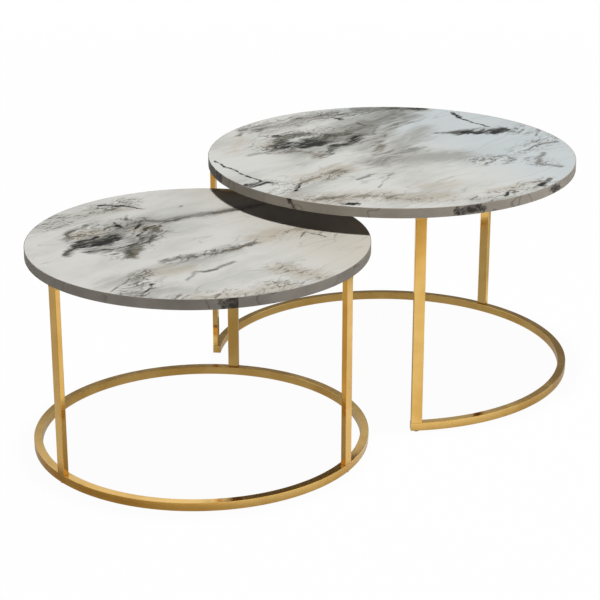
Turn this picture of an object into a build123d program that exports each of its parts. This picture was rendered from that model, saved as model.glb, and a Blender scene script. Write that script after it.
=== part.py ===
# Two round nesting coffee tables: a low one whose base is a full ring, and a taller one
# whose base ring is open at one side, so that the low table slides in under its top.
# Millimetres and degrees. The origin is on the floor, in the middle of the pair as it stands
# part-nested. +X runs from the low table's axis to the tall table's axis, +Z is up.
import os
from dataclasses import dataclass
from math import asin, cos, degrees, radians, sin

from build123d import *

# Tops
large_diameter = 700
small_diameter = 600
large_height = 425
nest_gap = 32
top_overlap = 142
face_thickness = 0.8
core_thickness = 16.4
backing_thickness = 0.8
band_thickness = 1.0
band_glue_line = 0.1
band_bevel = 0.3
band_seam_gap = 0.3

# Gold tube frames
ring_tube = 15
ring_wall = 1.2
ring_bevel = 0.8
leg_width = 20
leg_depth = 10
leg_wall = 1.2
leg_corner = 1.2
end_cap_thickness = 1.5

# Places of the legs around each table, anticlockwise from +X, and of each edge band's seam
large_end_leg_angle = 127.5
large_open_leg_angle = 229.75
large_back_leg_angle = 5.5
small_outer_leg_angle = 173.25
small_side_leg_angle = 284.0
small_inner_leg_angle = 34.5
large_seam_angle = 158.5
small_seam_angle = 239.0

# Plates that carry the tops
plate_thickness = 3
plate_length = 58
plate_neck_length = 14
plate_shoulder_length = 10
plate_width = 48
plate_corner = 6
screw_row_inset = 32
screw_row_half_spread = 14
screw_tail_inset = 48

# Fasteners
screw_diameter = 3.5
screw_length = 16
screw_head_diameter = 7.5
screw_head_height = 2.2
screw_pilot_clearance = 0.1
screw_plate_clearance = 0.7
bolt_diameter = 4
bolt_inset = 6
bolt_head_diameter = 7
bolt_head_height = 2.6
bolt_socket_width = 2.5
bolt_socket_depth = 1.6
bolt_reach = 12
bolt_thread_clearance = 0.1
bolt_wall_clearance = 0.4
insert_height = 15
insert_clearance = 0.1

# Glides pushed into the bolt access holes under each ring
glide_thickness = 1.5
glide_diameter = 11
glide_bevel = 0.4
glide_stem_diameter = 7.6
glide_stem_length = 4
access_clearance = 0.4

# Worked out from the sizes above
top_thickness = face_thickness + core_thickness + backing_thickness
large_radius = large_diameter / 2
small_radius = small_diameter / 2
small_height = large_height - top_thickness - nest_gap
centre_spacing = large_radius + small_radius - top_overlap
small_centre_x = (small_radius - large_radius - centre_spacing) / 2
large_centre_x = small_centre_x + centre_spacing
ring_base = glide_thickness
ring_top = ring_base + ring_tube
access_diameter = glide_stem_diameter + access_clearance


@dataclass
class Table:
    name: str
    radius: float
    height: float
    centre_x: float
    legs: dict
    seam_angle: float


large = Table(
    "large",
    large_radius,
    large_height,
    large_centre_x,
    {"end": large_end_leg_angle, "open": large_open_leg_angle, "back": large_back_leg_angle},
    large_seam_angle,
)
small = Table(
    "small",
    small_radius,
    small_height,
    small_centre_x,
    {"outer": small_outer_leg_angle, "side": small_side_leg_angle, "inner": small_inner_leg_angle},
    small_seam_angle,
)
upward = (Align.CENTER, Align.CENTER, Align.MIN)
downward = (Align.CENTER, Align.CENTER, Align.MAX)


def save(piece, name):
    piece.part.label = name
    export_step(piece.part, f"parts/{name}.step")


# Level plane on a table's rim at an angle: x outward from the table's axis, z up
def rim_plane(table, angle, height, inset=0.0, sideways=0.0):
    outward = Vector(cos(radians(angle)), sin(radians(angle)), 0)
    tangent = Vector(-outward.Y, outward.X, 0)
    centre = Vector(table.centre_x, 0, height)
    origin = centre + outward * (table.radius - inset) + tangent * sideways
    return Plane(origin, x_dir=outward, z_dir=(0, 0, 1))


# Upright plane through a table's axis at an angle: x outward, y up
def upright_plane(table, angle):
    outward = (cos(radians(angle)), sin(radians(angle)), 0)
    across = (sin(radians(angle)), -cos(radians(angle)), 0)
    return Plane((table.centre_x, 0, 0), x_dir=outward, z_dir=across)


def table_axis(table):
    return Axis((table.centre_x, 0, 0), (0, 0, 1))


def bolt_planes(table, height):
    return [rim_plane(table, angle, height, bolt_inset) for angle in table.legs.values()]


def screw_planes(table, angle, height):
    row = [
        rim_plane(table, angle, height, screw_row_inset, side * screw_row_half_spread)
        for side in (-1, 1)
    ]
    return row + [rim_plane(table, angle, height, screw_tail_inset)]


def all_screw_planes(table, height):
    return [plane for angle in table.legs.values() for plane in screw_planes(table, angle, height)]


# Board: a printed face sheet, a core and a brown backing sheet
def make_board(table):
    board_radius = table.radius - band_thickness - band_glue_line
    underside = table.height - top_thickness
    core_base = underside + backing_thickness
    pilot_radius = (screw_diameter + screw_pilot_clearance) / 2
    pilot_depth = screw_length - plate_thickness - backing_thickness + screw_pilot_clearance

    with BuildPart(Plane.XY.offset(core_base + core_thickness)) as face:
        with Locations((table.centre_x, 0)):
            Cylinder(board_radius, face_thickness, align=upward)
    save(face, f"{table.name}_top_face")

    with BuildPart() as core:
        with Locations((table.centre_x, 0, core_base)):
            Cylinder(board_radius, core_thickness, align=upward)
        with Locations(*all_screw_planes(table, core_base)):
            Cylinder(pilot_radius, pilot_depth, align=upward, mode=Mode.SUBTRACT)
    save(core, f"{table.name}_top_core")

    with BuildPart() as backing:
        with Locations((table.centre_x, 0, underside)):
            Cylinder(board_radius, backing_thickness, align=upward)
        with Locations(*all_screw_planes(table, underside)):
            Cylinder(pilot_radius, backing_thickness, align=upward, mode=Mode.SUBTRACT)
    save(backing, f"{table.name}_top_backing")


# Edge band: a thin strip bent round the board, with its two ends butted at a seam
def make_edge_band(table):
    seam_arc = degrees(band_seam_gap / table.radius)
    inner = table.radius - band_thickness
    bottom = table.height - top_thickness
    with BuildPart() as band:
        with BuildSketch(upright_plane(table, table.seam_angle)):
            with BuildLine():
                Polyline(
                    (inner, bottom),
                    (table.radius - band_bevel, bottom),
                    (table.radius, bottom + band_bevel),
                    (table.radius, table.height - band_bevel),
                    (table.radius - band_bevel, table.height),
                    (inner, table.height),
                    close=True,
                )
            make_face()
        revolve(axis=table_axis(table), revolution_arc=360 - seam_arc)
    save(band, f"{table.name}_edge_band")


# Square tube section of the ring, standing on the glides; solid for an end cap
def ring_section(section, table, hollow):
    with Locations((table.radius - ring_tube / 2, ring_base + ring_tube / 2)):
        Rectangle(ring_tube, ring_tube)
        chamfer(section.vertices(), ring_bevel)
        if hollow:
            bore = ring_tube - 2 * ring_wall
            Rectangle(bore, bore, mode=Mode.SUBTRACT)


# Base ring: square tube bent to a circle, or to an arc between two angles
def make_base_ring(table, start_angle, arc):
    with BuildPart() as ring:
        with BuildSketch(upright_plane(table, start_angle)) as section:
            ring_section(section, table, hollow=True)
        revolve(axis=table_axis(table), revolution_arc=arc)
        with Locations(*bolt_planes(table, ring_base)):
            Cylinder(access_diameter / 2, ring_wall, align=upward, mode=Mode.SUBTRACT)
        with Locations(*bolt_planes(table, ring_top)):
            bolt_hole = (bolt_diameter + bolt_wall_clearance) / 2
            Cylinder(bolt_hole, ring_wall, align=downward, mode=Mode.SUBTRACT)
    save(ring, f"{table.name}_base_ring")


# Cap welded over an open end of the ring, flush with the side of the leg above it
def make_end_cap(table, name, start_angle, arc):
    with BuildPart() as cap:
        with BuildSketch(upright_plane(table, start_angle)) as section:
            ring_section(section, table, hollow=False)
        revolve(axis=table_axis(table), revolution_arc=arc)
    save(cap, f"{table.name}_{name}_cap")


# Leg: rectangular tube standing on the ring, broad face outward and flush with the ring's outer face
def make_leg(table, name, angle):
    plate_base = table.height - top_thickness - plate_thickness
    with BuildPart() as leg:
        with BuildSketch(rim_plane(table, angle, ring_top, leg_depth / 2)):
            RectangleRounded(leg_depth, leg_width, leg_corner)
            Rectangle(leg_depth - 2 * leg_wall, leg_width - 2 * leg_wall, mode=Mode.SUBTRACT)
        extrude(amount=plate_base - ring_top)
    save(leg, f"{table.name}_{name}_leg")


# Plate welded to the head of a leg: a neck as wide as the leg, then a broad tongue
def make_leg_plate(table, name, angle):
    plate_base = table.height - top_thickness - plate_thickness
    shoulder = plate_neck_length + plate_shoulder_length
    with BuildPart() as plate:
        with BuildSketch(rim_plane(table, angle, plate_base)) as outline:
            with BuildLine():
                Polyline(
                    (0, leg_width / 2),
                    (-plate_neck_length, leg_width / 2),
                    (-shoulder, plate_width / 2),
                    (-plate_length, plate_width / 2),
                    (-plate_length, -plate_width / 2),
                    (-shoulder, -plate_width / 2),
                    (-plate_neck_length, -leg_width / 2),
                    (0, -leg_width / 2),
                    close=True,
                )
            make_face()
            tail_corners, shoulder_corners = outline.vertices().group_by(Axis.X)[:2]
            fillet(tail_corners + shoulder_corners, plate_corner)
        extrude(amount=plate_thickness)
        with Locations(*screw_planes(table, angle, plate_base)):
            screw_hole = (screw_diameter + screw_plate_clearance) / 2
            Cylinder(screw_hole, plate_thickness, align=upward, mode=Mode.SUBTRACT)
    save(plate, f"{table.name}_{name}_leg_plate")


# Threaded blocks driven into the feet of the legs
def make_inserts(table):
    block_depth = leg_depth - 2 * leg_wall - 2 * insert_clearance
    block_width = leg_width - 2 * leg_wall - 2 * insert_clearance
    thread_hole = (bolt_diameter + bolt_thread_clearance) / 2
    with BuildPart() as inserts:
        with Locations(*[rim_plane(table, angle, ring_top, leg_depth / 2) for angle in table.legs.values()]):
            Box(block_depth, block_width, insert_height, align=upward)
        with Locations(*bolt_planes(table, ring_top)):
            Cylinder(thread_hole, insert_height, align=upward, mode=Mode.SUBTRACT)
    save(inserts, f"{table.name}_leg_inserts")


# Bolts up through the top wall of the ring, with their heads inside the tube
def make_bolts(table):
    seat = ring_top - ring_wall
    with BuildPart() as bolts:
        with Locations(*bolt_planes(table, seat)):
            Cylinder(bolt_head_diameter / 2, bolt_head_height, align=downward)
            Cylinder(bolt_diameter / 2, ring_wall + bolt_reach, align=upward)
        for plane in bolt_planes(table, seat - bolt_head_height):
            with BuildSketch(plane):
                RegularPolygon(bolt_socket_width / 2, 6, major_radius=False)
            extrude(amount=bolt_socket_depth, mode=Mode.SUBTRACT)
    save(bolts, f"{table.name}_leg_bolts")


# Pan-head screws up through the plates into the board
def make_screws(table):
    seat = table.height - top_thickness - plate_thickness
    with BuildPart() as screws:
        with Locations(*all_screw_planes(table, seat)):
            Cylinder(screw_head_diameter / 2, screw_head_height, align=downward)
            Cylinder(screw_diameter / 2, screw_length, align=upward)
    save(screws, f"{table.name}_plate_screws")


# Glide: a plastic button under the ring with a stem that plugs the bolt's access hole
def make_glide(table, name, angle):
    radius = glide_diameter / 2
    stem = glide_stem_diameter / 2
    foot = rim_plane(table, angle, 0, bolt_inset)
    with BuildPart() as glide:
        with BuildSketch(Plane(foot.origin, x_dir=foot.x_dir, z_dir=-foot.y_dir)):
            with BuildLine():
                Polyline(
                    (0, 0),
                    (radius - glide_bevel, 0),
                    (radius, glide_bevel),
                    (radius, glide_thickness),
                    (stem, glide_thickness),
                    (stem, glide_thickness + glide_stem_length),
                    (0, glide_thickness + glide_stem_length),
                    close=True,
                )
            make_face()
        revolve(axis=Axis(foot.origin, (0, 0, 1)))
    save(glide, f"{table.name}_{name}_glide")


os.makedirs("parts", exist_ok=True)

# The tall table's ring runs from its open-side leg round the back to its end leg
leg_half_arc = degrees(asin(leg_width / 2 / (large.radius - ring_tube / 2)))
cap_arc = degrees(end_cap_thickness / (large.radius - ring_tube / 2))
large_start = large_open_leg_angle - leg_half_arc
large_arc = 360 + large_end_leg_angle + leg_half_arc - large_start
make_base_ring(large, large_start + cap_arc, large_arc - 2 * cap_arc)
make_end_cap(large, "open_end", large_start, cap_arc)
make_end_cap(large, "far_end", large_start + large_arc - cap_arc, cap_arc)
make_base_ring(small, small_outer_leg_angle, 360)

for table in (large, small):
    make_board(table)
    make_edge_band(table)
    make_inserts(table)
    make_bolts(table)
    make_screws(table)
    for leg_name, leg_angle in table.legs.items():
        make_leg(table, leg_name, leg_angle)
        make_leg_plate(table, leg_name, leg_angle)
        make_glide(table, leg_name, leg_angle)
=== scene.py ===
import math

import bmesh
import bpy
from mathutils import Matrix, Vector


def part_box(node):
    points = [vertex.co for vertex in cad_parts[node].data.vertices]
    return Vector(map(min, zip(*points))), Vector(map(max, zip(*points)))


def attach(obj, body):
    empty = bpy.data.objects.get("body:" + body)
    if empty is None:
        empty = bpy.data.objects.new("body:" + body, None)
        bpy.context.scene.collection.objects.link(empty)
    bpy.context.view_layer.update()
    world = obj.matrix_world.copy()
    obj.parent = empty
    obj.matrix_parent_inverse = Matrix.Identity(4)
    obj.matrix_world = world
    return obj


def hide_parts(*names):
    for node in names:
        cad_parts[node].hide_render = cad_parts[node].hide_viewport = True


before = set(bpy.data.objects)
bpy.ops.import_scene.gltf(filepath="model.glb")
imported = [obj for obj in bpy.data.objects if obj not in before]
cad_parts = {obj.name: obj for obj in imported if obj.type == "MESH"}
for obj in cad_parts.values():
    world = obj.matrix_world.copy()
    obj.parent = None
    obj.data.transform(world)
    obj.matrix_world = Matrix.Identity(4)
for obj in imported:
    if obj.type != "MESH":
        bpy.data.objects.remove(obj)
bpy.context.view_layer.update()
print("frame loaded:", len(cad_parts), "nodes")


# Small helpers

def srgb(red, green, blue):  # display colour 0-255 to the linear values that Blender uses
    def linear(value):
        value /= 255
        return value / 12.92 if value <= 0.04045 else ((value + 0.055) / 1.055) ** 2.4
    return (linear(red), linear(green), linear(blue), 1.0)


def millimetres(*values):
    scaled = tuple(value / 1000 for value in values)
    return scaled if len(scaled) > 1 else scaled[0]


def addNode(tree, kind, inputs=None, **settings):
    made = tree.nodes.new(kind)
    for key, value in settings.items():
        setattr(made, key, value)
    for key, value in (inputs or {}).items():
        if isinstance(value, bpy.types.NodeSocket):
            tree.links.new(value, made.inputs[key])
        else:
            made.inputs[key].default_value = value
    return made


def mathNode(tree, operation, first, second=0.0, third=0.0, clamp=False):
    inputs = {0: first, 1: second, 2: third}
    return addNode(tree, "ShaderNodeMath", inputs, operation=operation, use_clamp=clamp).outputs[0]


def vectorNode(tree, operation, first, second=(0, 0, 0), output=0):
    inputs = {0: first, 1: second}
    return addNode(tree, "ShaderNodeVectorMath", inputs, operation=operation).outputs[output]


def scaleVector(tree, vector, factor):
    made = addNode(tree, "ShaderNodeVectorMath", {0: vector, "Scale": factor}, operation="SCALE")
    return made.outputs[0]


def remap(tree, value, fromLow, fromHigh, toLow=0.0, toHigh=1.0):  # a soft step between two levels
    inputs = {
        "Value": value, "From Min": fromLow, "From Max": fromHigh, "To Min": toLow, "To Max": toHigh,
    }
    return addNode(tree, "ShaderNodeMapRange", inputs, interpolation_type="SMOOTHSTEP").outputs[0]


def mixColour(tree, factor, first, second, blend="MIX"):
    inputs = {0: factor, 6: first, 7: second}
    return addNode(tree, "ShaderNodeMix", inputs, data_type="RGBA", blend_type=blend).outputs[2]


def noiseNode(tree, vector, scale, detail=4.0, roughness=0.55, output="Fac"):
    inputs = {"Vector": vector, "Scale": scale, "Detail": detail, "Roughness": roughness}
    return addNode(tree, "ShaderNodeTexNoise", inputs).outputs[output]


def newMaterial(name, **shaderValues):
    material = bpy.data.materials.new(name)
    material.use_nodes = True
    shader = material.node_tree.nodes["Principled BSDF"]
    for key, value in shaderValues.items():
        shader.inputs[key].default_value = value
    return material, material.node_tree, shader


def newTree(name, family, inputs, outputs):  # with what goes in, what comes out and the inputs' keys
    tree = bpy.data.node_groups.new(name, f"{family}NodeTree")
    keys = {}
    for label, kind, default in inputs:
        socket = tree.interface.new_socket(label, in_out="INPUT", socket_type=f"NodeSocket{kind}")
        keys[label] = socket.identifier
        if default is not None:
            socket.default_value = default
    for label, kind in outputs:
        tree.interface.new_socket(label, in_out="OUTPUT", socket_type=f"NodeSocket{kind}")
    start = tree.nodes.new("NodeGroupInput")
    end = tree.nodes.new("NodeGroupOutput")
    return tree, start.outputs, end.inputs, keys


def newGroup(name, inputs, outputs):
    return newTree(name, "Shader", inputs, outputs)[:3]


def useGroup(tree, group, inputs):
    return addNode(tree, "ShaderNodeGroup", inputs, node_tree=group).outputs


def objectPlace(tree):
    return addNode(tree, "ShaderNodeTexCoord").outputs["Object"]


def meshFrom(work, name, sharpFrom):  # faces turned outward, smooth up to an edge angle in degrees
    bmesh.ops.recalc_face_normals(work, faces=work.faces)
    mesh = bpy.data.meshes.new(name)
    work.to_mesh(mesh)
    work.free()
    for polygon in mesh.polygons:
        polygon.use_smooth = True
    mesh.set_sharp_from_angle(angle=math.radians(sharpFrom))
    return mesh


def showMesh(mesh, body, material, replaced):
    piece = bpy.data.objects.new(mesh.name, mesh)
    bpy.context.scene.collection.objects.link(piece)
    mesh.materials.clear()
    mesh.materials.append(material)
    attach(piece, body)
    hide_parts(replaced)


# What the frame says about each table

def tableFacts(name):
    bandLow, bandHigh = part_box(f"{name}_edge_band")
    ringLow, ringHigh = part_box(f"{name}_base_ring")
    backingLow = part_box(f"{name}_top_backing")[0]
    plates = [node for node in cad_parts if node.startswith(name) and node.endswith("leg_plate")]
    return {
        "name": name,
        "body": f"{name}_table",
        "centre": Vector(((bandLow.x + bandHigh.x) / 2, (bandLow.y + bandHigh.y) / 2, 0)),
        "radius": (bandHigh.y - bandLow.y) / 2,
        "top": bandHigh.z,
        "underside": backingLow.z,
        "ringLow": ringLow.z,
        "ringHigh": ringHigh.z,
        "legs": [node[: -len("_plate")] for node in plates],
    }


tables = {name: tableFacts(name) for name in ("large", "small")}


# Shader groups that several finishes share

groupSpec = {
    "noiseMiddle": (0.5, 0.5, 0.5),
    "broadBends": (9.0, 2.0),  # scale and detail of the noise
    "fineBends": (38.0, 3.0),
    "trace": 0.0000001,
    "lineNoise": (2.0, 0.6),  # detail and roughness of the noise
    "lineGaps": (0.34, 0.5),
    "smearNoise": (5.0, 0.6),
    "smearLevels": (0.4, 0.75),
}


def makeWarpGroup(spec):  # bends flat coordinates so that straight strokes wander like stone veins
    group, given, result = newGroup(
        "veinWarp",
        [
            ("Place", "Vector", (0, 0, 0)), ("Seed", "Float", 0.0),
            ("Wander", "Float", 0.02), ("Ripple", "Float", 0.006),
        ],
        [("Place", "Vector")],
    )
    seedOffset = addNode(group, "ShaderNodeCombineXYZ", {2: given["Seed"]}).outputs[0]
    moved = vectorNode(group, "ADD", given["Place"], seedOffset)
    broad = noiseNode(group, moved, *spec["broadBends"], output="Color")
    fine = noiseNode(group, moved, *spec["fineBends"], output="Color")
    middle = spec["noiseMiddle"]
    broadShift = scaleVector(group, vectorNode(group, "SUBTRACT", broad, middle), given["Wander"])
    fineShift = scaleVector(group, vectorNode(group, "SUBTRACT", fine, middle), given["Ripple"])
    shift = vectorNode(group, "ADD", broadShift, fineShift)
    bent = vectorNode(group, "ADD", given["Place"], shift)
    group.links.new(vectorNode(group, "MULTIPLY", bent, (1, 1, 0)), result["Place"])
    return group


def makeStrokeGroup(spec):  # adds one vein stroke: Strength on its line, falling to 0 at its width
    group, given, result = newGroup(
        "veinStroke",
        [
            ("Place", "Vector", (0, 0, 0)), ("Field", "Float", 0.0), ("Strength", "Float", 1.0),
            ("From", "Vector", (0, 0, 0)), ("To", "Vector", (0.1, 0, 0)),
            ("Width From", "Float", 0.01), ("Width To", "Float", 0.01),
        ],
        [("Field", "Float")],
    )
    # a trace of the field so far makes the renderer work out the strokes one after another
    after = mathNode(group, "MULTIPLY", given["Field"], spec["trace"])
    along = vectorNode(group, "SUBTRACT", given["To"], given["From"])
    place = vectorNode(group, "ADD", given["Place"], after)
    reach = vectorNode(group, "SUBTRACT", place, given["From"])
    share = mathNode(
        group, "DIVIDE",
        vectorNode(group, "DOT_PRODUCT", reach, along, 1),
        vectorNode(group, "DOT_PRODUCT", along, along, 1),
        clamp=True,
    )
    nearest = scaleVector(group, along, share)
    distance = vectorNode(group, "LENGTH", vectorNode(group, "SUBTRACT", reach, nearest), output=1)
    widthGain = mathNode(group, "SUBTRACT", given["Width To"], given["Width From"])
    width = mathNode(group, "MULTIPLY_ADD", widthGain, share, given["Width From"])
    fall = mathNode(group, "SUBTRACT", 1.0, mathNode(group, "DIVIDE", distance, width), clamp=True)
    height = mathNode(group, "MULTIPLY", fall, given["Strength"])
    group.links.new(mathNode(group, "MAXIMUM", given["Field"], height), result["Field"])
    return group


def makeCrackleGroup(spec):  # thin broken lines where a noise passes its middle value
    group, given, result = newGroup(
        "crackleLines",
        [
            ("Place", "Vector", (0, 0, 0)), ("Scale", "Float", 20.0),
            ("Line", "Float", 0.05), ("Breaks", "Float", 30.0),
        ],
        [("Mask", "Float")],
    )
    noise = noiseNode(group, given["Place"], given["Scale"], *spec["lineNoise"])
    away = mathNode(group, "ABSOLUTE", mathNode(group, "MULTIPLY_ADD", noise, 2.0, -1.0))
    line = remap(group, away, 0.0, given["Line"], 1.0, 0.0)
    gaps = noiseNode(group, given["Place"], given["Breaks"], spec["lineNoise"][0])
    breaks = remap(group, gaps, *spec["lineGaps"])
    group.links.new(mathNode(group, "MULTIPLY", line, breaks), result["Mask"])
    return group


def makeHandlingGroup(spec):  # faint smears and rub marks that vary the gloss
    group, given, result = newGroup(
        "handlingMarks",
        [
            ("Place", "Vector", (0, 0, 0)), ("Smears", "Float", 18.0),
            ("Gloss", "Float", 0.12), ("Spread", "Float", 0.08),
        ],
        [("Roughness", "Float")],
    )
    marks = noiseNode(group, given["Place"], given["Smears"], *spec["smearNoise"])
    smears = remap(group, marks, *spec["smearLevels"])
    rough = mathNode(group, "MULTIPLY_ADD", smears, given["Spread"], given["Gloss"])
    group.links.new(rough, result["Roughness"])
    return group


warpGroup = makeWarpGroup(groupSpec)
strokeGroup = makeStrokeGroup(groupSpec)
crackleGroup = makeCrackleGroup(groupSpec)
handlingGroup = makeHandlingGroup(groupSpec)
print("shader groups ready")


def crackleMask(tree, place, lines):
    return useGroup(tree, crackleGroup, {"Place": place, **lines})["Mask"]


def layLines(tree, colour, place, kind, near=1.0):
    lines = mathNode(tree, "MULTIPLY", crackleMask(tree, place, kind["lines"]), near)
    return mixColour(tree, mathNode(tree, "MULTIPLY", lines, kind["cover"]), colour, kind["colour"])


def linkGloss(tree, shader, place, gloss):
    rough = useGroup(tree, handlingGroup, {"Place": place, **gloss})["Roughness"]
    tree.links.new(rough, shader.inputs["Roughness"])


def linkBump(tree, shader, height, bump):
    bumped = addNode(tree, "ShaderNodeBump", {"Height": height, **bump})
    tree.links.new(bumped.outputs[0], shader.inputs["Normal"])


# Marble print: veins placed in millimetres from the table's axis along x and y
# Each vein has its points, its width at the first and last point, and its strength

smallMarble = {
    "seed": 3.1, "flow": 18.0,
    "stone": srgb(213, 212, 207), "cloud": srgb(184, 184, 179),
    # the beige tint on this top is a painted reflection of the large top's underside
    "tint": srgb(200, 193, 179), "tintFrom": (20, -60), "tintTo": (190, -110),
    "smoke": [
        (((-135, 140), (-60, 150), (20, 130)), 50, 60, 0.9),
        (((-250, -60), (-150, -70), (0, -85)), 45, 35, 0.8),
        (((-270, -120), (-200, -150)), 50, 40, 0.7),
        (((60, 110), (220, 60)), 30, 30, 0.8),
        (((-120, 250), (40, 240)), 50, 40, 0.7),
    ],
    "beige": [
        (((-130, 175), (-95, 160)), 40, 30, 0.9),
        (((-45, 118), (-10, 100)), 30, 22, 0.9),
        (((75, -75), (130, -72), (175, -105)), 40, 45, 0.9),
        (((-205, -215), (-140, -250), (-70, -275)), 45, 45, 0.8),
        (((-8, -205), (5, -280)), 45, 40, 0.9),
        (((-165, -80), (-120, -95)), 40, 30, 0.8),
        (((-60, 235), (40, 225)), 50, 40, 0.5),
    ],
    "grey": [
        (((-215, 93), (-165, 124), (-100, 120), (-40, 128)), 16, 40, 1.0),
        (((-165, 84), (-105, 82), (-60, 92)), 22, 20, 0.85),
        (((-160, 165), (-130, 195), (-80, 185)), 16, 14, 0.8),
        (((-170, 70), (-118, 60), (-70, 74)), 20, 18, 1.0),
        (((-146, 14), (-128, 40), (-92, 56), (-45, 76), (-20, 98)), 24, 26, 1.1),
        (((-70, 130), (-30, 132), (8, 142), (34, 116)), 24, 22, 1.0),
        (((30, 118), (71, 104), (112, 91), (158, 75), (215, 60)), 18, 13, 1.15),
        (((-126, -40), (-87, -52), (-55, -64), (-24, -82), (16, -88), (60, -80)), 14, 10, 1.1),
        (((-158, -134), (-118, -118), (-91, -130), (-43, -126)), 9, 9, 1.1),
        (((-260, -120), (-205, -80)), 40, 30, 0.6),
        (((106, 156), (112, 161)), 9, 7, 1.0),
    ],
    "brown": [
        (((-28, 112), (-12, 98)), 16, 12, 0.9),
        (((130, 84), (165, 73)), 10, 10, 0.9),
        (((150, -84), (172, -100)), 16, 12, 0.7),
        (((-146, 12), (-122, 32), (-91, 43)), 17, 13, 1.0),
        (((-24, -80), (16, -90), (58, -82)), 6, 7, 1.1),
        (((-272, -92), (-213, -68)), 5, 4, 1.0),
        (((-110, -122), (-88, -131)), 7, 6, 1.0),
    ],
    "olive": [
        (((-168, 112), (-132, 120), (-92, 114)), 34, 28, 1.05),
        (((-217, 95), (-180, 112)), 8, 16, 0.9),
        (((-140, 22), (-118, 46), (-80, 62), (-42, 78)), 16, 14, 0.9),
        (((-58, 148), (-43, 176)), 15, 8, 1.0),
        (((-16, 168), (-3, 184)), 12, 6, 0.9),
        (((10, 140), (36, 112), (72, 102)), 13, 9, 0.9),
        (((120, 86), (158, 74)), 10, 10, 0.9),
        (((-87, 71), (-55, 87), (-24, 99), (4, 107)), 10, 8, 0.9),
        (((-152, 166), (-138, 189), (-112, 194)), 5, 7, 0.75),
        (((-118, 180), (-84, 158), (-60, 160)), 6, 5, 0.8),
    ],
    "dark": [
        (((-160, 116), (-130, 106), (-102, 112)), 28, 22, 1.2),
        (((-178, 83), (-142, 65), (-103, 63), (-75, 75)), 5, 5, 0.9),
        (((-63, 110), (-24, 130), (4, 146)), 6, 4, 0.9),
        (((-63, 99), (-28, 110), (0, 114)), 5, 4, 0.85),
        (((-140, 168), (-112, 150), (-84, 140)), 5, 5, 0.8),
        (((-152, 138), (-110, 138)), 12, 10, 0.95),
        (((4, 272), (20, 253), (39, 229), (51, 201)), 8, 5, 1.1),
        (((-253, -142), (-205, -110)), 6, 4, 0.75),
        (((126, -126), (154, -110), (158, -154)), 4, 4, 0.85),
        (((-55, 150), (-45, 170)), 9, 5, 0.9),
    ],
    "crackle": [
        (((-160, 115), (-135, 158), (-90, 170), (-10, 150)), 34, 55, 1.0),
        (((-150, 30), (-60, 70), (0, 110)), 40, 40, 1.0),
        (((-150, 245), (-60, 255), (60, 250)), 45, 40, 0.9),
        (((-255, -130), (-190, -70)), 45, 40, 0.9),
        (((90, -80), (150, -95), (175, -150)), 40, 40, 0.42),
        (((-215, -205), (-130, -250), (-60, -275)), 45, 45, 1.0),
        (((-8, -200), (5, -285)), 45, 40, 0.5),
        (((-120, -45), (0, -80), (60, -80)), 24, 20, 0.9),
    ],
}
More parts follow.
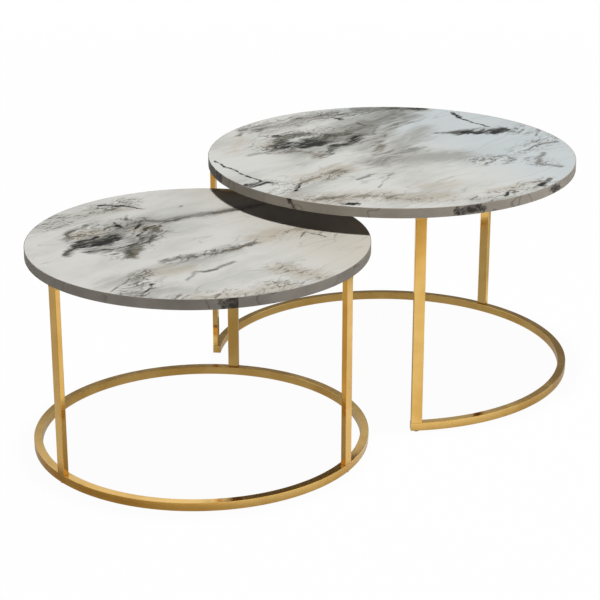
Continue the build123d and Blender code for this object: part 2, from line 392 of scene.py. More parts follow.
largeMarble = {
    "seed": 8.4, "flow": 24.0,
    "stone": srgb(215, 215, 210), "cloud": srgb(176, 176, 170),
    "tint": srgb(200, 209, 212), "tintFrom": (0, 0), "tintTo": (190, -40),
    "smoke": [
        (((20, 150), (110, 175), (230, 200)), 95, 90, 1.15),
        (((-40, -30), (20, 0), (70, 40)), 70, 60, 0.9),
        (((-60, -20), (20, -65), (70, -100)), 75, 60, 1.1),
        (((60, 20), (130, 45), (180, 70)), 55, 45, 0.8),
        (((-110, 120), (-30, 100)), 60, 60, 0.8),
        (((200, 255), (290, 185)), 55, 50, 1.0),
        (((-20, 60), (120, 115)), 60, 60, 0.9),
        (((-330, -60), (-150, -10)), 60, 60, 0.6),
        (((60, -60), (-120, -80)), 60, 50, 0.5),
        (((-60, 300), (120, 280)), 60, 60, 0.7),
    ],
    "beige": [
        (((-240, 2), (-190, -5), (-145, -10)), 45, 45, 1.0),
        (((-320, -90), (-258, -135), (-205, -190), (-150, -250)), 60, 55, 0.9),
        (((-120, -195), (-70, -210)), 60, 45, 0.7),
        (((-200, 230), (-130, 270)), 50, 40, 0.6),
        (((-55, -300), (40, -320)), 40, 30, 0.7),
        (((-120, 205), (-60, 225)), 40, 30, 0.7),
    ],
    "grey": [
        (((10, 130), (110, 160), (225, 190)), 60, 60, 0.95),
        (((-74, -37), (0, -10), (50, -20)), 50, 40, 0.7),
        (((-9, 166), (46, 152), (66, 132)), 40, 40, 1.0),
        (((-203, 180), (-138, 170)), 12, 16, 0.9),
        (((193, 262), (240, 240), (290, 185)), 36, 40, 1.1),
        (((74, 115), (129, 152), (203, 184)), 14, 16, 1.0),
        (((147, -290), (138, -249), (175, -221), (205, -212)), 15, 11, 1.1),
        (((74, -161), (101, -152), (138, -166), (134, -203), (92, -203)), 8, 7, 0.95),
        (((193, -175), (240, -166), (290, -182)), 8, 7, 0.95),
        (((286, -122), (335, -100)), 8, 7, 0.9),
        (((-175, -74), (-140, -68), (-100, -88)), 8, 6, 0.9),
        (((-184, -129), (-110, -92)), 7, 5, 0.8),
        (((-46, 310), (80, 300), (185, 250)), 46, 40, 0.7),
        (((170, 30), (225, -12)), 14, 22, 0.9),
    ],
    "brown": [
        (((-32, 18), (18, 46), (55, 78), (110, 101), (166, 124), (245, 148)), 22, 28, 0.75),
        (((-118, 84), (-98, 92)), 32, 26, 1.2),
        (((-166, 166), (-115, 134), (-104, 100)), 14, 16, 0.9),
        (((-178, -8), (-160, -14)), 30, 24, 1.0),
        (((-295, -32), (-258, -9), (-212, -5)), 8, 7, 0.9),
        (((-83, 322), (-120, 295)), 14, 10, 0.9),
        (((-310, -100), (-255, -135), (-210, -188)), 26, 22, 0.8),
    ],
    "olive": [
        (((-129, 184), (-83, 210), (-46, 228), (-12, 210)), 34, 30, 1.05),
        (((-112, 182), (-80, 170), (-30, 158)), 50, 48, 1.25),
        (((-87, 83), (-46, 106), (9, 110), (48, 135)), 20, 26, 1.05),
        (((-5, 170), (40, 155)), 26, 30, 0.95),
        (((196, 4), (238, -28), (276, -50)), 26, 46, 1.1),
        (((170, 28), (221, -9)), 8, 12, 0.95),
        (((255, 225), (295, 180)), 26, 26, 0.95),
        (((115, 232), (110, 262), (148, 264)), 12, 9, 0.95),
        (((118, 172), (124, 196)), 14, 8, 0.8),
    ],
    "dark": [
        (((-98, 178), (-74, 164), (-52, 156)), 34, 32, 1.6),
        (((-84, 148), (-60, 138)), 26, 20, 1.25),
        (((-116, 180), (-86, 164), (-56, 160)), 7, 8, 1.9),
        (((-98, 196), (-66, 186)), 6, 5, 1.6),
        (((-82, 150), (-48, 140)), 6, 6, 1.7),
        (((-128, 186), (-108, 182)), 12, 16, 0.9),
        (((-66, 244), (-58, 236)), 12, 8, 0.9),
        (((313, 106), (299, 74), (286, 37), (281, -18)), 7, 6, 1.1),
        (((210, -10), (242, -38), (270, -50)), 16, 34, 1.4),
        (((256, -44), (282, -58)), 14, 12, 1.8),
        (((-272, 207), (-290, 147), (-304, 83), (-309, 46)), 4, 6, 1.0),
        (((-345, 46), (-304, 32)), 18, 13, 1.1),
        (((-300, -150), (-288, -166)), 17, 12, 1.1),
        (((284, 192), (300, 176)), 18, 14, 1.0),
        (((-62, -322), (-45, -316)), 9, 6, 1.0),
        (((30, -335), (70, -322)), 12, 7, 1.0),
        (((-40, 112), (6, 112), (40, 130)), 9, 10, 0.9),
        (((10, 176), (22, 174)), 13, 9, 1.0),
        (((-300, -40), (-262, -12)), 5, 4, 0.9),
        (((112, 240), (112, 258)), 7, 5, 0.95),
    ],
    "crackle": [
        (((-140, 190), (-60, 235), (60, 170)), 60, 60, 0.9),
        (((-60, 305), (80, 295), (190, 250)), 55, 50, 1.0),
        (((-320, -20), (-250, -10), (-180, -15)), 35, 35, 1.0),
        (((-330, -80), (-260, -135), (-205, -190), (-150, -255)), 55, 55, 0.45),
        (((80, -160), (130, -185), (150, -240)), 45, 45, 1.0),
        (((190, -170), (320, -160)), 40, 40, 0.8),
        (((-120, -310), (60, -325)), 35, 30, 0.9),
        (((290, -80), (340, -60)), 40, 30, 0.7),
        (((-330, 60), (-290, 20)), 25, 25, 0.8),
    ],
}
marbleSpecs = {"small": smallMarble, "large": largeMarble}
veinKinds = {
    "smoke": {
        "colour": srgb(148, 147, 139), "cover": 0.7,
        "levels": (0.0, 1.0), "uneven": 1.4, "threads": 0.1,
    },
    "beige": {
        "colour": srgb(182, 171, 153), "cover": 0.6,
        "levels": (0.05, 0.9), "uneven": 1.6, "threads": 0.1,
    },
    "grey": {
        "colour": srgb(112, 110, 103), "cover": 0.8,
        "levels": (0.12, 1.0), "uneven": 2.3, "threads": 0.5,
    },
    "brown": {
        "colour": srgb(103, 96, 80), "cover": 0.8,
        "levels": (0.15, 1.0), "uneven": 2.4, "threads": 0.6,
    },
    "olive": {
        "colour": srgb(66, 67, 54), "cover": 0.88,
        "levels": (0.2, 0.95), "uneven": 2.5, "threads": 0.6,
    },
    "dark": {
        "colour": srgb(18, 18, 15), "cover": 0.98,
        "levels": (0.2, 0.8), "uneven": 2.3, "threads": 0.6,
    },
}
veinEdge = 0.14  # field level at which a vein is wholly there
crackleColour = srgb(70, 64, 55)
marbleFinish = {
    "ior": 1.28,
    "gloss": {"Gloss": 0.035, "Spread": 0.03, "Smears": 7.0},
    "bend": {"Wander": 0.03, "Ripple": 0.016},
    "flowStretch": (1, 2.3, 1),
    "threadStretch": (0.6, 3.4, 1),
    "grain": (34.0, 8.0, 0.66),  # scale, detail and roughness of the noise
    "wisps": (26.0, 7.0, 0.64),
    "clouds": (4.5, 6.0, 0.6),
    "cloudLevels": (0.4, 0.7),
    "cloudCover": 0.7,
    "tintCover": 0.75,
    "crackleReach": 0.6,
    "threads": {"Scale": 20.0, "Line": 0.12, "Breaks": 16.0},
    "hairs": {
        "lines": {"Scale": 4.0, "Line": 0.016, "Breaks": 9.0}, "cover": 0.22, "colour": crackleColour,
    },
    "web": {
        "lines": {"Scale": 15.0, "Line": 0.06, "Breaks": 14.0}, "cover": 0.75, "colour": crackleColour,
    },
    "specks": {
        "lines": {"Scale": 36.0, "Line": 0.1, "Breaks": 17.0}, "cover": 0.55,
        "colour": veinKinds["brown"]["colour"],
    },
}


def strokeField(tree, place, veins, field=0.0):
    for points, widthFrom, widthTo, strength in veins:
        steps = len(points) - 1
        for index in range(steps):
            first = widthFrom + (widthTo - widthFrom) * index / steps
            last = widthFrom + (widthTo - widthFrom) * (index + 1) / steps
            inputs = {
                "Place": place, "Field": field, "Strength": strength,
                "From": millimetres(*points[index], 0), "To": millimetres(*points[index + 1], 0),
                "Width From": millimetres(first), "Width To": millimetres(last),
            }
            field = useGroup(tree, strokeGroup, inputs)["Field"]
    return field


def veinMask(tree, field, grain, streaks, kind):  # ragged by the grain, with pale threads inside
    present = remap(tree, field, 0.0, veinEdge)
    uneven = mathNode(tree, "SUBTRACT", grain, 0.5)
    ragged = mathNode(tree, "MULTIPLY_ADD", uneven, kind["uneven"], field)
    mask = mathNode(tree, "MULTIPLY", remap(tree, ragged, *kind["levels"]), present)
    kept = mathNode(tree, "MULTIPLY_ADD", streaks, -kind["cover"] * kind["threads"], kind["cover"])
    return mathNode(tree, "MULTIPLY", mask, kept)


def makeMarble(table, spec, finish):
    material, tree, shader = newMaterial(f"marblePrint_{table['name']}", IOR=finish["ior"])
    shift = {"Vector": objectPlace(tree), "Location": -table["centre"]}
    centred = addNode(tree, "ShaderNodeMapping", shift).outputs[0]
    flat = vectorNode(tree, "MULTIPLY", centred, (1, 1, 0))
    bent = useGroup(tree, warpGroup, {"Place": flat, "Seed": spec["seed"], **finish["bend"]})["Place"]
    seeded = vectorNode(tree, "ADD", bent, (0, 0, spec["seed"]))

    def stretched(scale):
        turned = {"Vector": seeded, "Rotation": (0, 0, math.radians(-spec["flow"])), "Scale": scale}
        return addNode(tree, "ShaderNodeMapping", turned).outputs[0]

    flow = stretched(finish["flowStretch"])
    threads = stretched(finish["threadStretch"])
    grain = noiseNode(tree, flow, *finish["grain"])
    wisps = noiseNode(tree, threads, *finish["wisps"])
    clouds = remap(tree, noiseNode(tree, flow, *finish["clouds"]), *finish["cloudLevels"])
    cloudy = mathNode(tree, "MULTIPLY", clouds, finish["cloudCover"])
    colour = mixColour(tree, cloudy, spec["stone"], spec["cloud"])
    # a tint that grows across the top; on the small top it is a painted reflection of the large top's
    # underside
    tintFrom = Vector(millimetres(*spec["tintFrom"], 0))
    tintAlong = Vector(millimetres(*spec["tintTo"], 0)) - tintFrom
    reach = vectorNode(tree, "DOT_PRODUCT", vectorNode(tree, "SUBTRACT", bent, tintFrom), tintAlong, 1)
    across = remap(tree, reach, 0.0, tintAlong.length_squared)
    tinted = mathNode(tree, "MULTIPLY", across, finish["tintCover"])
    colour = mixColour(tree, tinted, colour, spec["tint"])
    colour = layLines(tree, colour, threads, finish["hairs"])
    streaks = crackleMask(tree, threads, finish["threads"])

    def layVeins(colour, name, grain):
        field = strokeField(tree, bent, spec[name])
        mask = veinMask(tree, field, grain, streaks, veinKinds[name])
        return mixColour(tree, mask, colour, veinKinds[name]["colour"])

    for name in ("smoke", "beige", "grey", "brown"):
        colour = layVeins(colour, name, wisps)
    near = remap(tree, strokeField(tree, bent, spec["crackle"]), 0.0, finish["crackleReach"])
    for name in ("web", "specks"):
        colour = layLines(tree, colour, flow, finish[name], near)
    for name in ("olive", "dark"):
        colour = layVeins(colour, name, grain)
    tree.links.new(colour, shader.inputs["Base Color"])
    linkGloss(tree, shader, flat, finish["gloss"])
    return material


# Gold plating: bright and finely polished on the tubes, duller on the plates under the tops

goldSpec = {
    "bright": srgb(240, 198, 118), "deep": srgb(222, 176, 96),
    "clouds": (11.0, 4.0), "cloudLevels": (0.35, 0.7),
    "gloss": {"Gloss": 0.07, "Spread": 0.07, "Smears": 30.0},
    "polish": (900.0, 2.0), "bump": {"Strength": 0.015, "Distance": 0.0004},
}
plateGloss = {"Gloss": 0.36, "Spread": 0.16, "Smears": 30.0}


def makeGold(name, spec):
    material, tree, shader = newMaterial(name, Metallic=1.0)
    place = objectPlace(tree)
    cloud = remap(tree, noiseNode(tree, place, *spec["clouds"]), *spec["cloudLevels"])
    colour = mixColour(tree, cloud, spec["bright"], spec["deep"])
    tree.links.new(colour, shader.inputs["Base Color"])
    linkGloss(tree, shader, place, spec["gloss"])
    linkBump(tree, shader, noiseNode(tree, place, *spec["polish"]), spec["bump"])
    return material


# Edge strip print: stone grey with darker veined patches
# The patches are placed in millimetres along the strip from its seam and up from its lower edge

bandSpecs = {
    "small": {
        # the small strip's colours are set darker than the large strip's, as painted shade
        "seed": 1.7, "light": srgb(158, 151, 142), "deep": srgb(136, 130, 122),
        "dark": [(((1862, 9), (1890, 9)), 14, 16, 1.1)],
    },
    "large": {
        "seed": 5.2, "light": srgb(184, 176, 164), "deep": srgb(162, 154, 144),
        "dark": [
            (((2055, 5), (2205, 9)), 16, 26, 1.05),
            (((190, 17), (206, 1)), 7, 7, 0.95),
            (((503, 8), (546, 10)), 15, 13, 0.95),
            (((722, 10), (752, 7)), 13, 12, 0.95),
        ],
    },
}
bandVeins = {
    "colour": srgb(40, 35, 31), "cover": 0.9,
    "levels": (0.25, 0.6), "uneven": 2.8, "threads": 0.4,
}
bandFinish = {
    "ior": 1.3,
    "gloss": {"Gloss": 0.55, "Spread": 0.12, "Smears": 40.0},
    "clouds": (7.0, 5.0, 0.6), "cloudLevels": (0.35, 0.68),
    "grain": (70.0, 7.0, 0.66),
    "hairs": {
        "lines": {"Scale": 9.0, "Line": 0.03, "Breaks": 12.0}, "cover": 0.4,
        "colour": bandVeins["colour"],
    },
    "threads": {"Scale": 55.0, "Line": 0.2, "Breaks": 40.0},
}


def makeBandFinish(table, spec, finish):
    material, tree, shader = newMaterial(f"edgeStrip_{table['name']}", IOR=finish["ior"])
    strip = addNode(tree, "ShaderNodeUVMap", uv_map="strip").outputs[0]
    seeded = vectorNode(tree, "ADD", strip, (0, 0, spec["seed"]))
    clouds = remap(tree, noiseNode(tree, seeded, *finish["clouds"]), *finish["cloudLevels"])
    colour = mixColour(tree, clouds, spec["light"], spec["deep"])
    colour = layLines(tree, colour, seeded, finish["hairs"])
    grain = noiseNode(tree, seeded, *finish["grain"])
    streaks = crackleMask(tree, seeded, finish["threads"])
    mask = veinMask(tree, strokeField(tree, strip, spec["dark"]), grain, streaks, bandVeins)
    colour = mixColour(tree, mask, colour, bandVeins["colour"])
    tree.links.new(colour, shader.inputs["Base Color"])
    linkGloss(tree, shader, seeded, finish["gloss"])
    return material


# Plain finishes that show underneath or inside

plainSpecs = {
    # brown backing sheet: partly its own brown, partly painted shade, set darker to stand for the
    # shade under the tops
    "brownBacking": {
        "light": srgb(100, 84, 67), "deep": srgb(82, 69, 54), "metallic": 0.0,
        "gloss": 0.4, "spread": 0.16, "grainScale": 700.0, "bump": 0.0001,
    },
    "boardFibre": {
        "light": srgb(176, 148, 112), "deep": srgb(146, 118, 86), "metallic": 0.0,
        "gloss": 0.75, "spread": 0.1, "grainScale": 900.0, "bump": 0.0002,
    },
    "zincPlating": {
        "light": srgb(196, 196, 192), "deep": srgb(164, 164, 160), "metallic": 1.0,
        "gloss": 0.28, "spread": 0.16, "grainScale": 300.0, "bump": 0.00005,
    },
    "glidePlastic": {
        "light": srgb(34, 34, 35), "deep": srgb(26, 26, 27), "metallic": 0.0,
        "gloss": 0.5, "spread": 0.15, "grainScale": 1200.0, "bump": 0.00005,
    },
}
plainFinish = {"grain": (5.0, 0.6), "levels": (0.35, 0.68), "smears": 25.0, "bumpStrength": 0.2}


def makePlain(name, spec, finish):
    material, tree, shader = newMaterial(name, Metallic=spec["metallic"])
    place = objectPlace(tree)
    grain = noiseNode(tree, place, spec["grainScale"], *finish["grain"])
    colour = mixColour(tree, remap(tree, grain, *finish["levels"]), spec["light"], spec["deep"])
    tree.links.new(colour, shader.inputs["Base Color"])
    gloss = {"Gloss": spec["gloss"], "Spread": spec["spread"], "Smears": finish["smears"]}
    linkGloss(tree, shader, place, gloss)
    linkBump(tree, shader, grain, {"Strength": finish["bumpStrength"], "Distance": spec["bump"]})
    return material


goldTube = makeGold("goldTube", goldSpec)
goldPlate = makeGold("goldPlate", {**goldSpec, "gloss": plateGloss})
plain = {name: makePlain(name, spec, plainFinish) for name, spec in plainSpecs.items()}
print("finishes ready")


# CAD nodes that keep their own shape get their finish

def finishNode(node, material):
    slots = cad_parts[node].data.materials
    slots.clear()
    slots.append(material)


nodeFinishes = {
    "top_core": plain["boardFibre"],
    "top_backing": plain["brownBacking"],
    "leg_inserts": plain["zincPlating"],
    "leg_bolts": plain["zincPlating"],
    "leg_plate": goldPlate,
    "glide": plain["glidePlastic"],
    "end_cap": goldTube,
}
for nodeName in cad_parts:
    for ending, finish in nodeFinishes.items():
        if nodeName.endswith(ending):
            finishNode(nodeName, finish)
for name, table in tables.items():
    finishNode(f"{name}_top_face", makeMarble(table, marbleSpecs[name], marbleFinish))
print("marble tops finished")


# Base rings: a square tube with rounded edges, swept along a circle or an arc in Geometry Nodes

ringSpec = {
    "ease": 0.00002, "corner": 0.0006, "cornerSteps": 4, "stepsPerTurn": 360,
    "weld": 0.000002, "sharpFrom": 8,
}


def newShapeTree(name, inputs):
    shape = ("Geometry", "Geometry")
    return newTree(name, "Geometry", [(*shape, None), *inputs], [shape])


def endShapeTree(tree, shape, finish, result):
    realized = addNode(tree, "GeometryNodeRealizeInstances", {"Geometry": shape.outputs[0]})
    finished = addNode(tree, "GeometryNodeSetMaterial", {
        "Geometry": realized.outputs[0], "Material": finish,
    })
    tree.links.new(finished.outputs[0], result["Geometry"])


def makeRingTree():
    tree, given, result, keys = newShapeTree("tubeRing", [
        ("Radius", "Float", 0.3),
        ("Tube", "Float", 0.015),
        ("Corner", "Float", 0.001),
        ("Corner Steps", "Int", 4),
        ("Start", "Float", 0.0),
        ("Sweep", "Float", math.tau),
        ("Steps", "Int", 360),
        ("Centre", "Vector", None),
        ("Whole", "Bool", True),
        ("Finish", "Material", None),
    ])
    halfTube = mathNode(tree, "MULTIPLY", given["Tube"], 0.5)
    middle = mathNode(tree, "SUBTRACT", given["Radius"], halfTube)
    arc = addNode(tree, "GeometryNodeCurveArc", {
        "Resolution": given["Steps"], "Radius": middle,
        "Start Angle": given["Start"], "Sweep Angle": given["Sweep"],
    })
    circle = addNode(tree, "GeometryNodeCurvePrimitiveCircle", {
        "Resolution": given["Steps"], "Radius": middle,
    })
    path = addNode(tree, "GeometryNodeSwitch", {
        "Switch": given["Whole"], "False": arc.outputs["Curve"], "True": circle.outputs["Curve"],
    }, input_type="GEOMETRY")
    upright = addNode(tree, "GeometryNodeSetCurveNormal", {"Curve": path.outputs[0]}, mode="Z_UP")
    square = addNode(tree, "GeometryNodeCurvePrimitiveQuadrilateral", {
        "Width": given["Tube"], "Height": given["Tube"],
    })
    section = addNode(tree, "GeometryNodeFilletCurve", {
        "Curve": square.outputs[0], "Count": given["Corner Steps"], "Radius": given["Corner"],
    }, mode="POLY")
    swept = addNode(tree, "GeometryNodeCurveToMesh", {
        "Curve": upright.outputs[0], "Profile Curve": section.outputs[0], "Fill Caps": True,
    })
    placed = addNode(tree, "GeometryNodeTransform", {
        "Geometry": swept.outputs[0], "Translation": given["Centre"],
    })
    endShapeTree(tree, placed, given["Finish"], result)
    return tree, keys


def bakeNodes(name, tree, keys, values, points=()):  # runs a tree once and keeps the plain mesh
    seedMesh = bpy.data.meshes.new(f"{name}_points")
    seedMesh.from_pydata(points, [], [])
    carrier = bpy.data.objects.new(f"{name}_carrier", seedMesh)
    bpy.context.scene.collection.objects.link(carrier)
    modifier = carrier.modifiers.new("shape", "NODES")
    modifier.node_group = tree
    for label, value in values.items():
        modifier[keys[label]] = value
    ready = carrier.evaluated_get(bpy.context.evaluated_depsgraph_get())
    mesh = bpy.data.meshes.new_from_object(ready)
    mesh.name = name
    carrier.modifiers.remove(modifier)
    bpy.data.objects.remove(carrier)
    return mesh


def nodeAngle(node, centre):
    low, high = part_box(node)
    middle = (low + high) / 2 - centre
    return math.atan2(middle.y, middle.x)


ringTree, ringKeys = makeRingTree()


def makeRing(table, spec):
    tube = table["ringHigh"] - table["ringLow"]
    whole = table["name"] == "small"
    start, sweep = 0.0, math.tau
    if not whole:  # the arc runs between the two end caps
        start = nodeAngle("large_open_end_cap", table["centre"])
        sweep = (nodeAngle("large_far_end_cap", table["centre"]) - start) % math.tau
    values = {
        "Radius": table["radius"] - spec["ease"], "Tube": tube, "Corner": spec["corner"],
        "Corner Steps": spec["cornerSteps"], "Start": start, "Sweep": sweep,
        "Steps": round(spec["stepsPerTurn"] * sweep / math.tau),
        "Centre": tuple(table["centre"] + Vector((0, 0, table["ringLow"] + tube / 2))),
        "Whole": whole, "Finish": goldTube,
    }
    swept = bakeNodes(f"{table['name']}_swept", ringTree, ringKeys, values)
    work = bmesh.new()
    work.from_mesh(swept)
    bmesh.ops.remove_doubles(work, verts=work.verts, dist=spec["weld"])
    bpy.data.meshes.remove(swept)
    mesh = meshFrom(work, f"{table['name']}_ring", spec["sharpFrom"])
    showMesh(mesh, table["body"], goldTube, f"{table['name']}_base_ring")


for table in tables.values():
    makeRing(table, ringSpec)
print("rings swept")


# Legs: rounded flat tubes, upright between the ring and the plate

legSpec = {
    "width": 0.020, "depth": 0.010, "corner": 0.0011, "cornerSteps": 4,
    "endBevel": 0.0004, "sharpFrom": 8,
}


def roundedOutline(depth, width, corner, steps):
    points = []
    for cornerIndex, (sideX, sideY) in enumerate(((1, 1), (-1, 1), (-1, -1), (1, -1))):
        for step in range(steps + 1):
            angle = math.radians(90 * (cornerIndex + step / steps))
            x = sideX * (depth / 2 - corner) + corner * math.cos(angle)
            y = sideY * (width / 2 - corner) + corner * math.sin(angle)
            points.append((x, y))
    return points


def makeLeg(table, node, spec):
    low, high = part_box(node)
    middle = (low + high) / 2
    turn = Matrix.Rotation(nodeAngle(node, table["centre"]), 4, "Z")
    bevel = spec["endBevel"]
    levels = [(low.z, bevel), (low.z + bevel, 0.0), (high.z - bevel, 0.0), (high.z, bevel)]
    work = bmesh.new()
    rows = []
    for height, inset in levels:
        outline = roundedOutline(
            spec["depth"] - 2 * inset, spec["width"] - 2 * inset, spec["corner"], spec["cornerSteps"])
        row = []
        for x, y in outline:
            corner = turn @ Vector((x, y, 0))
            row.append(work.verts.new((middle.x + corner.x, middle.y + corner.y, height)))
        rows.append(row)
    for below, above in zip(rows, rows[1:]):
        for index in range(len(below)):
            after = (index + 1) % len(below)
            work.faces.new((below[index], below[after], above[after], above[index]))
    work.faces.new(list(reversed(rows[0])))
    work.faces.new(rows[-1])
    mesh = meshFrom(work, f"{node}_tube", spec["sharpFrom"])
    showMesh(mesh, table["body"], goldTube, node)


for table in tables.values():
    for legNode in table["legs"]:
        makeLeg(table, legNode, legSpec)
print("legs made")


# Edge strips: lathed round each board from the butted seam, with softly broken edges

bandSpec = {
    "ease": 0.00002, "thickness": 0.0010, "bevel": 0.0003, "bevelSteps": 2,
    "steps": 360, "seamGap": 0.0003, "sharpFrom": 15,
    "seams": {"large": math.radians(158.5), "small": math.radians(239.0)},
}


def bandProfile(table, spec):  # from the lower inner corner, out, up and back in
    inner = table["radius"] - spec["thickness"]
    bevel = spec["bevel"]
    edge = table["radius"] - spec["ease"] - bevel
    angles = [math.pi / 2 * step / spec["bevelSteps"] for step in range(spec["bevelSteps"] + 1)]
    low = table["underside"] + bevel
    high = table["top"] - bevel
    points = [(inner, table["underside"])]
    for angle in angles:
        points.append((edge + bevel * math.sin(angle), low - bevel * math.cos(angle)))
    for angle in angles:
        points.append((edge + bevel * math.cos(angle), high + bevel * math.sin(angle)))
    points.append((inner, table["top"]))
    return points


def makeBand(table, spec):
    profile = bandProfile(table, spec)
    gap = spec["seamGap"] / table["radius"]
    seam = spec["seams"][table["name"]]
    work = bmesh.new()
    uvLayer = work.loops.layers.uv.new("strip")
    rows = []
    for step in range(spec["steps"] + 1):
        share = step / spec["steps"]
        angle = seam + (math.tau - gap) * share
        direction = Vector((math.cos(angle), math.sin(angle), 0))
        row = []
        for radius, height in profile:
            row.append(work.verts.new(table["centre"] + direction * radius + Vector((0, 0, height))))
        rows.append(row)
    heights = [point[1] - table["underside"] for point in profile]
    girth = math.tau * table["radius"]

    def addFace(corners, places):
        face = work.faces.new(corners)
        for loop, place in zip(face.loops, places):
            loop[uvLayer].uv = place

    count = len(profile)
    for step in range(spec["steps"]):
        left = girth * step / spec["steps"]
        right = girth * (step + 1) / spec["steps"]
        here, there = rows[step], rows[step + 1]
        for index in range(count):
            after = (index + 1) % count
            corners = (here[index], there[index], there[after], here[after])
            low, high = heights[index], heights[after]
            addFace(corners, ((left, low), (right, low), (right, high), (left, high)))
    for row, place in ((rows[0], 0.0), (rows[-1], girth)):
        addFace(row, [(place, height) for height in heights])
    mesh = meshFrom(work, f"{table['name']}_edge_strip", spec["sharpFrom"])
    finish = makeBandFinish(table, bandSpecs[table["name"]], bandFinish)
    showMesh(mesh, table["body"], finish, f"{table['name']}_edge_band")


for table in tables.values():
    makeBand(table, bandSpec)
print("edge strips made")


# Screws: one pan-head screw set on every place by Geometry Nodes

screwSpec = {
    "headDiameter": 0.0075, "headHeight": 0.0022, "shankDiameter": 0.0035,
    "tipLength": 0.003, "tipShare": 0.35, "domeSteps": 5, "domeShare": 0.55,
    "slot": 0.0011, "landReach": 1.9, "armReach": 1.6, "recessDepth": 0.55, "recessTaper": 0.8,
    "steps": 24, "sharpFrom": 45, "solidWeld": 0.000005,
}


def solidBoxes(node, weld):  # boxes of the separate solids in one CAD node
    work = bmesh.new()
    work.from_mesh(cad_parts[node].data)
    bmesh.ops.remove_doubles(work, verts=work.verts, dist=weld)
    unseen = set(work.verts)
    boxes = []
    for first in work.verts:
        if first not in unseen:
            continue
        unseen.remove(first)
        pending = [first]
        found = []
        while pending:
            vertex = pending.pop()
            found.append(vertex.co.copy())
            for edge in vertex.link_edges:
                other = edge.other_vert(vertex)
                if other in unseen:
                    unseen.remove(other)
                    pending.append(other)
        low = Vector([min(place[axis] for place in found) for axis in range(3)])
        high = Vector([max(place[axis] for place in found) for axis in range(3)])
        boxes.append((low, high))
    work.free()
    return boxes


def makeScrewMesh(length, spec):  # stands on its seat at z = 0, head below with a cross recess
    work = bmesh.new()
    steps = spec["steps"]
    head = spec["headDiameter"] / 2
    dome = spec["headHeight"]
    shank = spec["shankDiameter"] / 2
    profile = [
        (0.0, length), (shank * spec["tipShare"], length), (shank, length - spec["tipLength"]),
        (shank, 0.0), (head, 0.0),
    ]
    for step in range(1, spec["domeSteps"]):  # part round, part cone
        share = step / spec["domeSteps"]
        angle = math.pi / 2 * share
        width = math.cos(angle) * spec["domeShare"] + (1 - spec["domeShare"]) * (1 - share)
        profile.append((head * width, -dome * math.sin(angle)))
    profile.append((spec["slot"] * spec["landReach"], -dome))
    turns = [math.tau * k / steps for k in range(steps)]
    rings = []
    for radius, height in profile:
        if radius == 0.0:
            rings.append([work.verts.new((0, 0, height))])
            continue
        places = [(radius * math.cos(turn), radius * math.sin(turn), height) for turn in turns]
        rings.append([work.verts.new(place) for place in places])
    for upper, lower in zip(rings, rings[1:]):
        for k in range(steps):
            after = (k + 1) % steps
            if len(upper) == 1:
                work.faces.new((upper[0], lower[after], lower[k]))
            else:
                work.faces.new((upper[k], upper[after], lower[after], lower[k]))
    arm = spec["slot"] * spec["armReach"]
    half = spec["slot"] / 2
    crossing = [  # cross outline round the recess
        (arm, -half), (arm, half), (half, half), (half, arm), (-half, arm), (-half, half),
        (-arm, half), (-arm, -half), (-half, -half), (-half, -arm), (half, -arm), (half, -half),
    ]
    rim = [work.verts.new((x, y, -dome)) for x, y in crossing]
    taper = spec["recessTaper"]
    floorHeight = -dome + dome * spec["recessDepth"]
    floor = [work.verts.new((x * taper, y * taper, floorHeight)) for x, y in crossing]
    for k in range(len(rim)):
        after = (k + 1) % len(rim)
        work.faces.new((rim[k], rim[after], floor[after], floor[k]))
    work.faces.new(floor)
    outerEdges = [work.edges.get((rings[-1][k], rings[-1][(k + 1) % steps])) for k in range(steps)]
    rimEdges = [work.edges.get((rim[k], rim[(k + 1) % len(rim)])) for k in range(len(rim))]
    bmesh.ops.triangle_fill(work, edges=outerEdges + rimEdges, use_beauty=True)
    return meshFrom(work, "pan_screw", spec["sharpFrom"])


def makeScrewTree():
    tree, given, result, keys = newShapeTree("screwsInPlace", [
        ("Screw", "Object", None),
        ("Turn", "Float", math.tau),
        ("Seed", "Int", 4),
        ("Finish", "Material", None),
    ])
    screw = addNode(tree, "GeometryNodeObjectInfo", {"Object": given["Screw"]})
    spin = addNode(tree, "FunctionNodeRandomValue", {
        3: given["Turn"], "Seed": given["Seed"],
    }, data_type="FLOAT")
    turned = addNode(tree, "ShaderNodeCombineXYZ", {2: spin.outputs[1]})
    placed = addNode(tree, "GeometryNodeInstanceOnPoints", {
        "Points": given["Geometry"], "Instance": screw.outputs["Geometry"],
        "Rotation": turned.outputs[0],
    })
    endShapeTree(tree, placed, given["Finish"], result)
    return tree, keys


screwTree, screwKeys = makeScrewTree()


def makeScrews(table, spec):
    node = f"{table['name']}_plate_screws"
    boxes = solidBoxes(node, spec["solidWeld"])
    seats = []
    for low, high in boxes:
        seats.append(((low.x + high.x) / 2, (low.y + high.y) / 2, low.z + spec["headHeight"]))
    low, high = boxes[0]
    length = high.z - low.z - spec["headHeight"]
    pattern = bpy.data.objects.new("screw_pattern", makeScrewMesh(length, spec))
    values = {"Screw": pattern, "Finish": plain["zincPlating"]}
    mesh = bakeNodes(f"{table['name']}_screws", screwTree, screwKeys, values, seats)
    bpy.data.objects.remove(pattern)
    showMesh(mesh, table["body"], plain["zincPlating"], node)


for table in tables.values():
    makeScrews(table, screwSpec)
print("screws set")


# Studio: a pale floor, soft lamps and the camera of the photograph

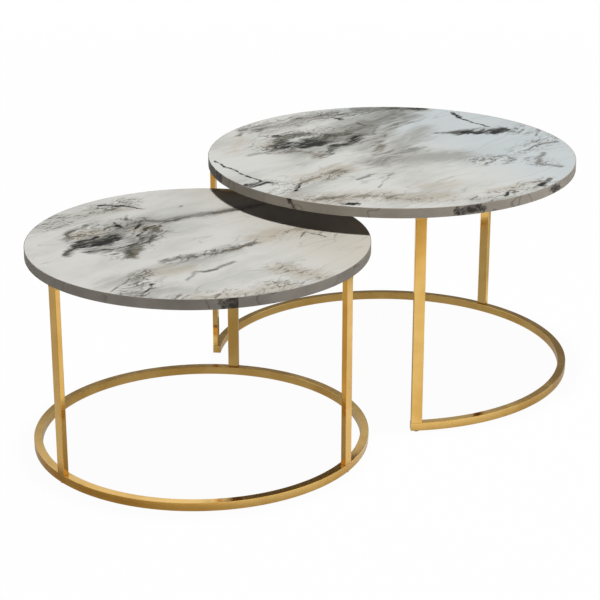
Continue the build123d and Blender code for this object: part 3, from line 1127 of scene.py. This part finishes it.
studioSpec = {
    "floorSize": 16.0,
    "floorColour": srgb(236, 236, 235),
    "floorRoughness": 0.9,
    "floorWhite": 0.97,
    "fadeFrom": 1.2,
    "fadeTo": 4.5,
    "floorMirrored": 0.32,
    # painted shade on the floor, seen only in mirror images: dimmer sides and a warm, darker front
    # left
    "stripMiddle": 0.08,
    "stripHalf": (0.5, 0.74),
    "sideShade": 0.62,
    "warmShadeTint": (1.0, 0.84, 0.56, 1.0),
    "warmShadeAcross": (-0.6, -0.36),
    "warmShadeAlong": (-0.05, 0.25),
    "worldLight": 0.04,
    "wallLight": 0.2,
    "wallTop": 0.385,
    "ceilingFrom": 0.455,
}
lampSpecs = [
    {"name": "overheadLamp", "place": (0.0, 0.0, 6.4), "aim": (0, 0, 0.3), "size": 0.6, "power": 375},
    {"name": "sideSoftbox", "place": (2.8, -2.4, 0.7), "aim": (0, 0, 0.2), "size": 1.1, "power": 31},
    {"name": "lowSoftbox", "place": (-2.2, -3.4, 0.6), "aim": (0, 0, 0.2), "size": 1.1, "power": 22},
]
cameraSpec = {
    "place": (-2.3329, -2.2105, 1.3908), "heading": 46.25, "tilt": 20.54, "lens": 109.94, "sensor": 36,
}


def rayKinds(tree):  # the light path's outputs, and 1 for what is seen in a mirror image
    path = addNode(tree, "ShaderNodeLightPath").outputs
    return path, mathNode(tree, "MAXIMUM", path["Is Glossy Ray"], path["Is Transmission Ray"])


# painted shade: in mirror images the floor is darker at the sides, and warm and darker at the front
# left
def mirroredFloor(tree, place, spec):  # the gold mirrors a bright strip in front, between dimmer sides
    apart = addNode(tree, "ShaderNodeSeparateXYZ", {0: place}).outputs
    sideways = mathNode(tree, "ABSOLUTE", mathNode(tree, "SUBTRACT", apart[0], spec["stripMiddle"]))
    shade = remap(tree, sideways, *spec["stripHalf"], 1.0, spec["sideShade"])
    warmShadeLeft = remap(tree, apart[0], *spec["warmShadeAcross"], 1.0, 0.0)
    warmShadeFront = remap(tree, apart[1], *spec["warmShadeAlong"], 1.0, 0.0)
    warmShade = mathNode(tree, "MULTIPLY", warmShadeLeft, warmShadeFront)
    tint = mixColour(tree, warmShade, (1, 1, 1, 1), spec["warmShadeTint"])
    grey = addNode(tree, "ShaderNodeCombineColor", {0: shade, 1: shade, 2: shade}).outputs[0]
    return mixColour(tree, 1.0, tint, grey, "MULTIPLY")


def makeFloor(spec):
    half = spec["floorSize"] / 2
    corners = [(-half, -half, 0), (half, -half, 0), (half, half, 0), (-half, half, 0)]
    mesh = bpy.data.meshes.new("studio_floor")
    mesh.from_pydata(corners, [], [(0, 1, 2, 3)])
    floor = bpy.data.objects.new("studio_floor", mesh)
    bpy.context.scene.collection.objects.link(floor)
    material, tree, shader = newMaterial("paleFloor", Roughness=spec["floorRoughness"])
    path, mirrored = rayKinds(tree)
    place = objectPlace(tree)
    shade = mixColour(tree, mirrored, (1, 1, 1, 1), mirroredFloor(tree, place, spec))
    colour = mixColour(tree, 1.0, spec["floorColour"], shade, "MULTIPLY")
    tree.links.new(colour, shader.inputs["Base Color"])
    white = addNode(tree, "ShaderNodeEmission", {"Color": shade, "Strength": 1.0})
    away = vectorNode(tree, "LENGTH", place, output=1)
    # the floor fades into the white of the room, so that there is no horizon
    whiteness = remap(tree, away, spec["fadeFrom"], spec["fadeTo"], spec["floorWhite"], 1.0)
    shown = mathNode(tree, "MULTIPLY", path["Is Camera Ray"], whiteness)
    glow = mathNode(tree, "MULTIPLY", mirrored, spec["floorMirrored"])
    share = mathNode(tree, "MAXIMUM", shown, glow)
    mixed = addNode(tree, "ShaderNodeMixShader", {0: share, 1: shader.outputs[0], 2: white.outputs[0]})
    tree.links.new(mixed.outputs[0], tree.nodes["Material Output"].inputs["Surface"])
    mesh.materials.append(material)


def makeWorld(spec):  # a white ceiling over darker walls in mirror images; soft light on matt surfaces
    world = bpy.data.worlds.new("studioWorld")
    world.use_nodes = True
    tree = world.node_tree
    tree.nodes.clear()
    direction = addNode(tree, "ShaderNodeTexCoord").outputs["Generated"]
    height = addNode(tree, "ShaderNodeSeparateXYZ", {0: direction}).outputs[2]
    path, mirrored = rayKinds(tree)
    room = remap(tree, height, spec["wallTop"], spec["ceilingFrom"], spec["wallLight"], 1.0)
    seen = mathNode(tree, "MAXIMUM", mathNode(tree, "MULTIPLY", mirrored, room), path["Is Camera Ray"])
    strength = mathNode(tree, "MAXIMUM", seen, spec["worldLight"])
    light = addNode(tree, "ShaderNodeBackground", {"Color": (1, 1, 1, 1), "Strength": strength})
    addNode(tree, "ShaderNodeOutputWorld", {"Surface": light.outputs[0]})
    bpy.context.scene.world = world


def makeLamp(spec):
    lamp = bpy.data.lights.new(spec["name"], "AREA")
    lamp.shape = "SQUARE"
    lamp.size = spec["size"]
    lamp.energy = spec["power"]
    holder = bpy.data.objects.new(spec["name"], lamp)
    holder.location = spec["place"]
    aim = Vector(spec["aim"]) - Vector(spec["place"])
    holder.rotation_euler = aim.to_track_quat("-Z", "Y").to_euler()
    holder.visible_glossy = False  # lights without a mirror image of the lamp
    bpy.context.scene.collection.objects.link(holder)


def makeCamera(spec):
    camera = bpy.data.cameras.new("photoCamera")
    camera.lens = spec["lens"]
    camera.sensor_width = spec["sensor"]
    holder = bpy.data.objects.new("photoCamera", camera)
    holder.location = spec["place"]
    holder.rotation_euler = (math.radians(90 - spec["tilt"]), 0, math.radians(-spec["heading"]))
    bpy.context.scene.collection.objects.link(holder)
    bpy.context.scene.camera = holder


makeFloor(studioSpec)
makeWorld(studioSpec)
for lampSpec in lampSpecs:
    makeLamp(lampSpec)
makeCamera(cameraSpec)
bpy.context.scene.view_settings.view_transform = "Standard"
print("studio ready")
